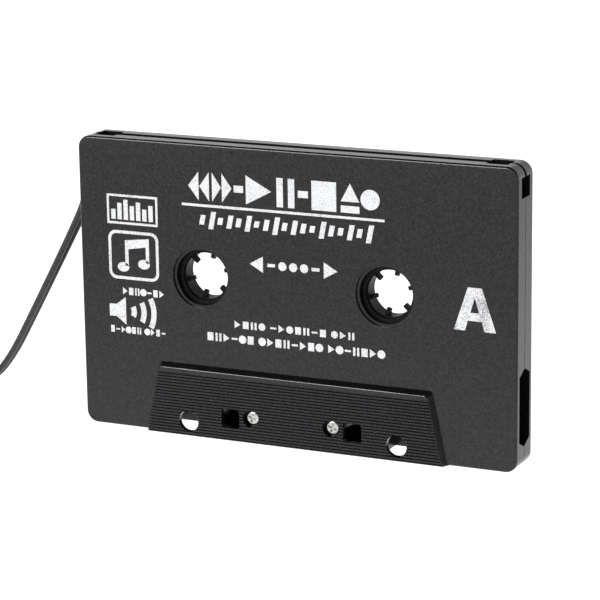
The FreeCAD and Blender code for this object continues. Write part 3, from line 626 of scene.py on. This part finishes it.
def disc(x, z, radius):
    """A full round dot."""
    return [arc(x, z, radius, 0, 345, DISC_STEPS)]


def rounded(left, right, low, high, radius):
    """A rectangle with rounded corners."""
    corners = ((right, low, -90), (right, high, 0), (left, high, 90), (left, low, 180))
    outline = []
    for x, z, first in corners:
        middle_x = x - radius if x == right else x + radius
        middle_z = z - radius if z == high else z + radius
        outline += arc(middle_x, middle_z, radius, first, first + 90, 6)
    return [outline]


def frame_of(left, right, low, high, radius, width):
    """A rounded border of an even width."""
    inner_radius = max(radius - width * 0.8, 0.05)
    inner = rounded(left + width, right - width, low + width, high - width, inner_radius)
    return rounded(left, right, low, high, radius) + inner


def thick_arc(x, z, radius, width, first, last):
    """A bent bar."""
    return [arc(x, z, radius + width / 2, first, last) + arc(x, z, radius - width / 2, last, first)]


def pointer(base, tip, low, high):
    """A triangle that points left or right."""
    return [[(base, low), (tip, (low + high) / 2), (base, high)]]


def symbol(kind, left, right, low, high):
    """One of the usual marks on the keys of a tape machine."""
    middle, width, height = (left + right) / 2, right - left, high - low
    if kind == "play":
        return pointer(left, right, low, high)
    if kind == "reverse":
        return pointer(right, left, low, high)
    if kind == "rewind":
        return pointer(middle, left, low, high) + pointer(right, middle + 0.04 * width, low, high)
    if kind == "forward":
        return pointer(left, middle - 0.04 * width, low, high) + pointer(middle, right, low, high)
    if kind == "pause":
        return slab(left, left + width * 0.36, low, high) + slab(right - width * 0.36, right, low, high)
    if kind == "stop":
        return slab(left, right, low, high)
    if kind == "record":
        return disc(middle, (low + high) / 2, height / 2)
    if kind == "eject":
        bar = slab(left, right, low, low + height * 0.24)
        return bar + [[(left, low + height * 0.38), (right, low + height * 0.38), (middle, high)]]
    return slab(left, right, (low + high) / 2 - height * 0.12, (low + high) / 2 + height * 0.12)


def row_of(kinds, left, right, low, high, gap, space):
    """Marks of equal width in a row; a space in kinds leaves a wider gap."""
    marks = len(kinds) - kinds.count(" ")
    width = (right - left - gap * (marks - 1) - space * kinds.count(" ")) / marks
    shapes, at = [], left
    for kind in kinds:
        if kind == " ":
            at += space
            continue
        shapes += symbol(kind, at, at + width, low, high)
        at += width + gap
    return shapes


def heading():
    """A line of large marks, as on the keys of a tape machine."""
    low, high = HEADING
    cells = (
        ("rewind", -23.8, -18.9),
        ("forward", -18.2, -13.6),
        ("dash", -13.1, -10.9),
        ("play", -10.3, -4.4),
        ("pause", -3.2, 0.9),
        ("dash", 1.7, 4.0),
        ("stop", 4.8, 10.4),
        ("eject", 11.4, 15.6),
    )
    shapes = [outline for kind, left, right in cells for outline in symbol(kind, left, right, low, high)]
    return shapes + disc(18.0, 54.8, 2.15)


def waveform():
    """Slanted bars of different heights, as on a level display."""
    heights = [0.55, 1.0, 0.4, 0.75, 0.5, 0.9, 0.35, 0.62, 1.0, 0.45]
    heights += [0.8, 0.55, 0.38, 0.95, 0.6, 0.42, 0.85, 0.5, 1.0]
    width, middle, tallest = 1.15, 47.6, 3.8
    shapes = []
    for number, share in enumerate(heights):
        left = -21.4 + MARK_PITCH * number
        half = tallest * share / 2
        shapes += slab(left, left + width, middle - half, middle + half, lean=0.8 * share)
    return shapes


def equaliser():
    """Upright bars in a frame."""
    shapes = frame_of(-43.5, -31.3, 45.1, 51.6, 0.1, 0.5)
    for number, height in enumerate((2.2, 3.6, 4.4, 3.1, 4.0, 2.6, 3.5)):
        left = -42.5 + BAR_PITCH * number
        shapes += slab(left, left + 1.05, 46.1, 46.1 + height)
    return shapes


def double_note():
    """Two joined notes in a frame."""
    shapes = frame_of(-43.4, -31.3, 33.0, 43.7, 1.8, 0.65)
    stems = [(-39.4, 36.0), (-39.4, 41.6), (-33.6, 42.3), (-33.6, 36.9)]
    stems += [(-34.4, 36.9), (-34.4, 40.4), (-38.6, 39.7), (-38.6, 36.0)]
    shapes.append(stems)
    for x, z in ((-39.9, 35.7), (-34.9, 36.6)):
        shapes.append([(x + 1.35 * (px - x), pz) for px, pz in arc(x, z, 1.05, 0, 345, DISC_STEPS)])
    return shapes


def loudspeaker():
    """A loudspeaker with sound coming from it, between two lines of small marks."""
    cone = [(-41.9, 24.6), (-39.6, 22.9), (-39.6, 29.0), (-41.9, 27.3)]
    shapes = [[(-43.6, 24.6)] + cone + [(-43.6, 27.3)]]
    for radius in (2.3, 4.7, 7.1):
        shapes += thick_arc(RAY_CENTRE, 25.95, radius, 1.25, -27, 27)
    kinds = ["play", "stop", "pause", "record", "dash", "stop", "play"]
    shapes += row_of(kinds, -40.2, -30.3, 29.6, 31.2, 0.42, 0)
    kinds = ["stop", "dash", "play", "record", "stop", "pause", " "]
    kinds += ["record", "play", "stop", "dash"]
    return shapes + row_of(kinds, -43.4, -30.2, 21.0, 22.5, 0.4, 0.7)


def direction_marks():
    """Which way the hubs turn: arrows and dots between the two big holes."""
    shapes = pointer(-6.6, -9.7, 37.3, 40.8) + pointer(7.4, 10.5, 37.3, 40.8)
    for x in (-2.1, 0.4, 2.9):
        shapes += disc(x, 39.05, 0.95)
    return shapes + slab(-5.6, -3.8, 38.7, 39.4) + slab(4.6, 6.4, 38.7, 39.4)


def small_rows():
    """Two lines of small marks under the big holes."""
    upper = ["play", "stop", "pause", "record", " "]
    upper += ["dash", "play", "record", "stop", "pause", "dash", "stop", " "]
    upper += ["record", "play", "pause"]
    lower = ["stop", "pause", "play", "dash", "record", "stop", " "]
    lower += ["record", "play", "stop", "pause", "dash", "play", "stop", "record", " "]
    lower += ["play", "record", "dash", "pause", "stop", "play", "record"]
    shapes = row_of(upper, -13.5, 14.2, 24.7, 26.3, 0.55, 0.75)
    return shapes + row_of(lower, -20.0, 21.0, 21.4, 23.2, 0.5, 0.8)


def letter_a():
    """The plain letter of the first side."""
    outline = [(36.4, 29.3), (39.45, 38.4), (42.5, 38.4), (45.6, 29.3)]
    outline += [(43.1, 29.3), (42.5, 31.4), (39.45, 31.4), (38.85, 29.3)]
    return [outline, [(40.0, 33.1), (41.95, 33.1), (40.97, 36.3)]]


def letter_b():
    """The plain letter of the second side."""
    lower = arc(41.9, 31.9, 2.6, -90, 62, 10)
    upper = arc(41.6, 36.1, 2.3, -40, 90, 10)
    outline = [(37.3, 29.3)] + lower + upper + [(37.3, 38.4)]
    shapes = [outline]
    shapes.append([(39.5, 31.1)] + arc(41.7, 31.95, 0.85, -90, 90, 8) + [(39.5, 32.8)])
    return shapes + [[(39.5, 34.9)] + arc(41.4, 35.7, 0.8, -90, 90, 8) + [(39.5, 36.5)]]


def add_print(name, shapes, rear, material):
    """A film of ink in the form of the shapes, on the front face, or on the rear face."""
    curve = bpy.data.curves.new(name, "CURVE")
    curve.dimensions = "2D"
    curve.fill_mode = "BOTH"
    curve.extrude = INK_THICKNESS / 2 * MM
    for outline in shapes:
        spline = curve.splines.new("POLY")
        spline.points.add(len(outline) - 1)
        for point, (x, z) in zip(spline.points, outline):
            point.co = (x * MM, z * MM, 0, 1)
        spline.use_cyclic_u = True
    drawn = bpy.data.objects.new(name + "_outline", curve)
    bpy.context.scene.collection.objects.link(drawn)
    mesh = bpy.data.meshes.new_from_object(drawn.evaluated_get(bpy.context.evaluated_depsgraph_get()))
    bpy.data.objects.remove(drawn)
    depth = (FACE + INK_THICKNESS / 2 - INK_SINK) * MM
    side = -1 if rear else 1
    mesh.transform(Matrix(((side, 0, 0, 0), (0, 0, -side, -side * depth), (0, 1, 0, 0), (0, 0, 0, 1))))
    mesh.materials.clear()
    mesh.materials.append(material)
    printed = bpy.data.objects.new(name, mesh)
    bpy.context.scene.collection.objects.link(printed)
    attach(printed, "root")


def make_prints():
    """The same printing on both faces, with a letter of its own on each."""
    beneath = scaled(CASE_BLACK, 1.4)
    even = ink("print_ink", PRINT_WHITE, beneath, 0.22)
    thin = ink("thin_print_ink", PRINT_WHITE, beneath, 0.6)
    blocks = {
        "heading": heading(),
        "rule": slab(-25.4, 21.2, 50.4, 50.95),
        "waveform": waveform(),
        "equaliser": equaliser(),
        "double_note": double_note(),
        "loudspeaker": loudspeaker(),
        "direction_marks": direction_marks(),
        "small_rows": small_rows(),
    }
    for side, rear in (("front", False), ("rear", True)):
        for name, shapes in blocks.items():
            add_print(f"{side}_{name}", shapes, rear, even)
    add_print("front_side_letter", letter_a(), False, thin)
    add_print("rear_side_letter", letter_b(), True, thin)


# ---------------------------------------------------------------- assembly


def finish_nodes(materials):
    """Gives each node of the frame the finish of its slot."""
    for part in frame["record"]["subparts"]:
        data = frame["nodes"][part["node"]].data
        data.materials.clear()
        data.materials.append(materials[part["material_slot"]])


def make_head_links():
    """Copies of the head's spring and wires, set in place of their CAD nodes, which are hidden."""
    for part in frame["record"]["subparts"]:
        name = part["node"]
        if name in HEAD_LINKS:
            link = bpy.data.objects.new(name + "_link", frame["nodes"][name].data.copy())
            bpy.context.scene.collection.objects.link(link)
            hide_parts(name)
            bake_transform(link)


def main():
    """Camera, floor, lights and finishes, and then what the CAD leaves to this script."""
    bpy.context.scene.view_settings.view_transform = "Standard"
    make_camera()
    make_floor()
    make_world()
    for light in LIGHTS:
        make_light(*light)
    materials = slot_materials()
    finish_nodes(materials)
    make_head_links()
    lead = make_lead(materials["lead_jacket"])
    make_prints()
    on_lead = [frame["nodes"][name] for name in PLUG_NODES] + make_tie(materials["tie"])


main()
